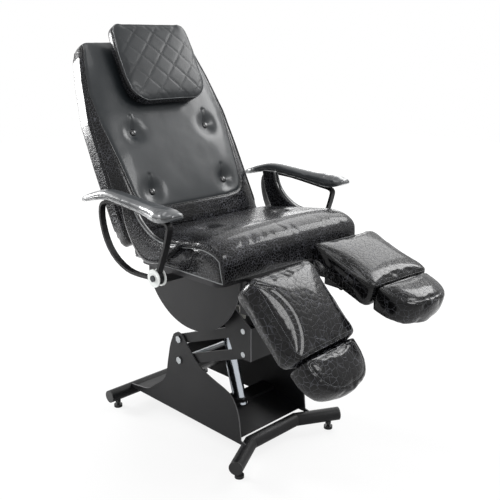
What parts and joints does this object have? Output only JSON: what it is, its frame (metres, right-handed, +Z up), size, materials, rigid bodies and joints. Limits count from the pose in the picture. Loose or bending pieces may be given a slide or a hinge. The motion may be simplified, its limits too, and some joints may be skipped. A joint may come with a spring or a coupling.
{
  "type": "pedicure chair",
  "caption": "Pedicure chair with a scissor-link lift on a splayed tube base, reclining tufted back, quilted headrest, flip-up armrests and split leg and foot rests.",
  "frame": {"origin": "on the floor under the middle of the chair's outline as it stands at rest", "axes": "+Z up, -Y the way the sitter faces, +X to the sitter's left"},
  "size_m": [0.7562, 1.1342, 1.2524],
  "materials": {
    "vinyl": "gloss",
    "powder_black": "satin",
    "black_plastic": "matte",
    "board": "matte",
    "chrome": "polished",
    "zinc_steel": "satin",
    "grey_housing": "satin",
    "white_nylon": "satin"
  },
  "bodies": {
    "base": {"front_foot_tube": "powder_black", "rear_foot_tube": "powder_black", "tube_end_caps": "black_plastic", "levelling_feet": "black_plastic", "left_base_plate": "powder_black", "right_base_plate": "powder_black", "rear_cover_sheet": "powder_black", "lift_cross_plate": "powder_black", "lift_collar": "powder_black", "lift_column": "chrome", "base_link_pins": "zinc_steel", "release_spring": "zinc_steel"},
    "lift_rod": {"lift_rod": "chrome"},
    "upper_link": {"upper_link_bars": "powder_black", "upper_link_tubes": "powder_black"},
    "lower_link": {"lower_link_bars": "powder_black", "lower_link_tube": "powder_black"},
    "lift_head": {"left_head_plate": "powder_black", "right_head_plate": "powder_black", "lift_head_front": "powder_black", "lift_head_pins": "zinc_steel", "tilt_actuator": "grey_housing"},
    "tilt_rod": {"tilt_actuator_rod": "zinc_steel"},
    "seat": {"seat_rails": "powder_black", "seat_cross_tubes": "powder_black", "leg_arms": "powder_black", "seat_board": "board", "seat_cushion": "vinyl", "left_side_wing": "vinyl", "right_side_wing": "vinyl", "left_disc_cover": "powder_black", "right_disc_cover": "powder_black", "disc_screws": "zinc_steel", "seat_shafts": "zinc_steel", "arm_pivot_bolts": "zinc_steel"},
    "back": {"back_rails": "powder_black", "back_cross_tube": "powder_black", "back_board": "board", "back_cushion": "vinyl", "back_buttons": "vinyl", "headrest_sleeves": "powder_black"},
    "headrest": {"headrest_bracket": "powder_black", "headrest_board": "board", "headrest_cushion": "vinyl"},
    "left_arm": {"left_arm_bar": "powder_black", "left_arm_pad": "vinyl", "left_arm_washers": "white_nylon"},
    "right_arm": {"right_arm_bar": "powder_black", "right_arm_pad": "vinyl", "right_arm_washers": "white_nylon"},
    "left_swivel": {"left_leg_swivel": "powder_black"},
    "right_swivel": {"right_leg_swivel": "powder_black"},
    "left_leg": {"left_leg_bracket": "powder_black", "left_leg_cushion": "vinyl"},
    "right_leg": {"right_leg_bracket": "powder_black", "right_leg_cushion": "vinyl"},
    "left_foot": {"left_foot_bracket": "powder_black", "left_foot_cushion": "vinyl"},
    "right_foot": {"right_foot_bracket": "powder_black", "right_foot_cushion": "vinyl"}
  },
  "joints": [
    {"name": "lift", "type": "hinge", "parent": "base", "child": "upper_link", "pos_m": [0, 0.1384, 0.3135], "axis": [-1, 0, 0], "range_deg": [-18, 22]},
    {"name": "lift_head_level", "type": "hinge", "parent": "upper_link", "child": "lift_head", "pos_m": [0, -0.15401, 0.42516], "axis": [-1, 0, 0], "range_deg": [-22.5, 18.5]},
    {"name": "lower_link_swing", "type": "hinge", "parent": "base", "child": "lower_link", "pos_m": [0, 0.1384, 0.2435], "axis": [-1, 0, 0], "range_deg": [-18.5, 22.5]},
    {"name": "lift_rod_slide", "type": "slide", "parent": "base", "child": "lift_rod", "axis": [0, 0.2835, 0.959], "range_m": [-0.0185, 0.0225]},
    {"name": "seat_tilt", "type": "hinge", "parent": "lift_head", "child": "seat", "pos_m": [0, 0.0404, 0.566], "axis": [-1, 0, 0], "range_deg": [0, 10]},
    {"name": "tilt_rod_slide", "type": "slide", "parent": "lift_head", "child": "tilt_rod", "axis": [0, 0, 1], "range_m": [-0.001, 0.026]},
    {"name": "back_recline", "type": "hinge", "parent": "seat", "child": "back", "pos_m": [0, 0.1804, 0.566], "axis": [-1, 0, 0], "range_deg": [-9, 58]},
    {"name": "headrest_slide", "type": "slide", "parent": "back", "child": "headrest", "axis": [0, 0.4571, 0.8894], "range_m": [0, 0.06]},
    {"name": "left_armrest", "type": "hinge", "parent": "seat", "child": "left_arm", "pos_m": [0.333, -0.0086, 0.591], "axis": [-1, 0, 0], "range_deg": [0, 85]},
    {"name": "right_armrest", "type": "hinge", "parent": "seat", "child": "right_arm", "pos_m": [-0.333, -0.0086, 0.591], "axis": [-1, 0, 0], "range_deg": [0, 85]},
    {"name": "left_leg_swing", "type": "hinge", "parent": "seat", "child": "left_swivel", "pos_m": [0.177, -0.2046, 0.534], "axis": [0, 0, 1], "range_deg": [-1, 9]},
    {"name": "left_leg_drop", "type": "hinge", "parent": "left_swivel", "child": "left_leg", "pos_m": [0.17337, -0.25647, 0.51], "axis": [0.9976, -0.0698, 0], "range_deg": [0, 61]},
    {"name": "left_foot_drop", "type": "hinge", "parent": "left_leg", "child": "left_foot", "pos_m": [0.1609, -0.4348, 0.49985], "axis": [0.9976, -0.0698, 0], "range_deg": [-1, 45]},
    {"name": "right_leg_swing", "type": "hinge", "parent": "seat", "child": "right_swivel", "pos_m": [-0.177, -0.2046, 0.534], "axis": [0, 0, -1], "range_deg": [-1, 9]},
    {"name": "right_leg_drop", "type": "hinge", "parent": "right_swivel", "child": "right_leg", "pos_m": [-0.17337, -0.25647, 0.51], "axis": [0.9976, 0.0698, 0], "range_deg": [-28, 33]},
    {"name": "right_foot_drop", "type": "hinge", "parent": "right_leg", "child": "right_foot", "pos_m": [-0.16273, -0.40869, 0.41631], "axis": [0.9976, 0.0698, 0], "range_deg": [-1, 45]}
  ],
  "couplings": [
    {"joint": "lift_head_level", "follows": "lift", "ratio": -1},
    {"joint": "lower_link_swing", "follows": "lift", "ratio": 1},
    {"joint": "lift_rod_slide", "follows": "lift", "m_per_rad": 0.05683},
    {"joint": "tilt_rod_slide", "follows": "seat_tilt", "m_per_rad": 0.14041}
  ]
}
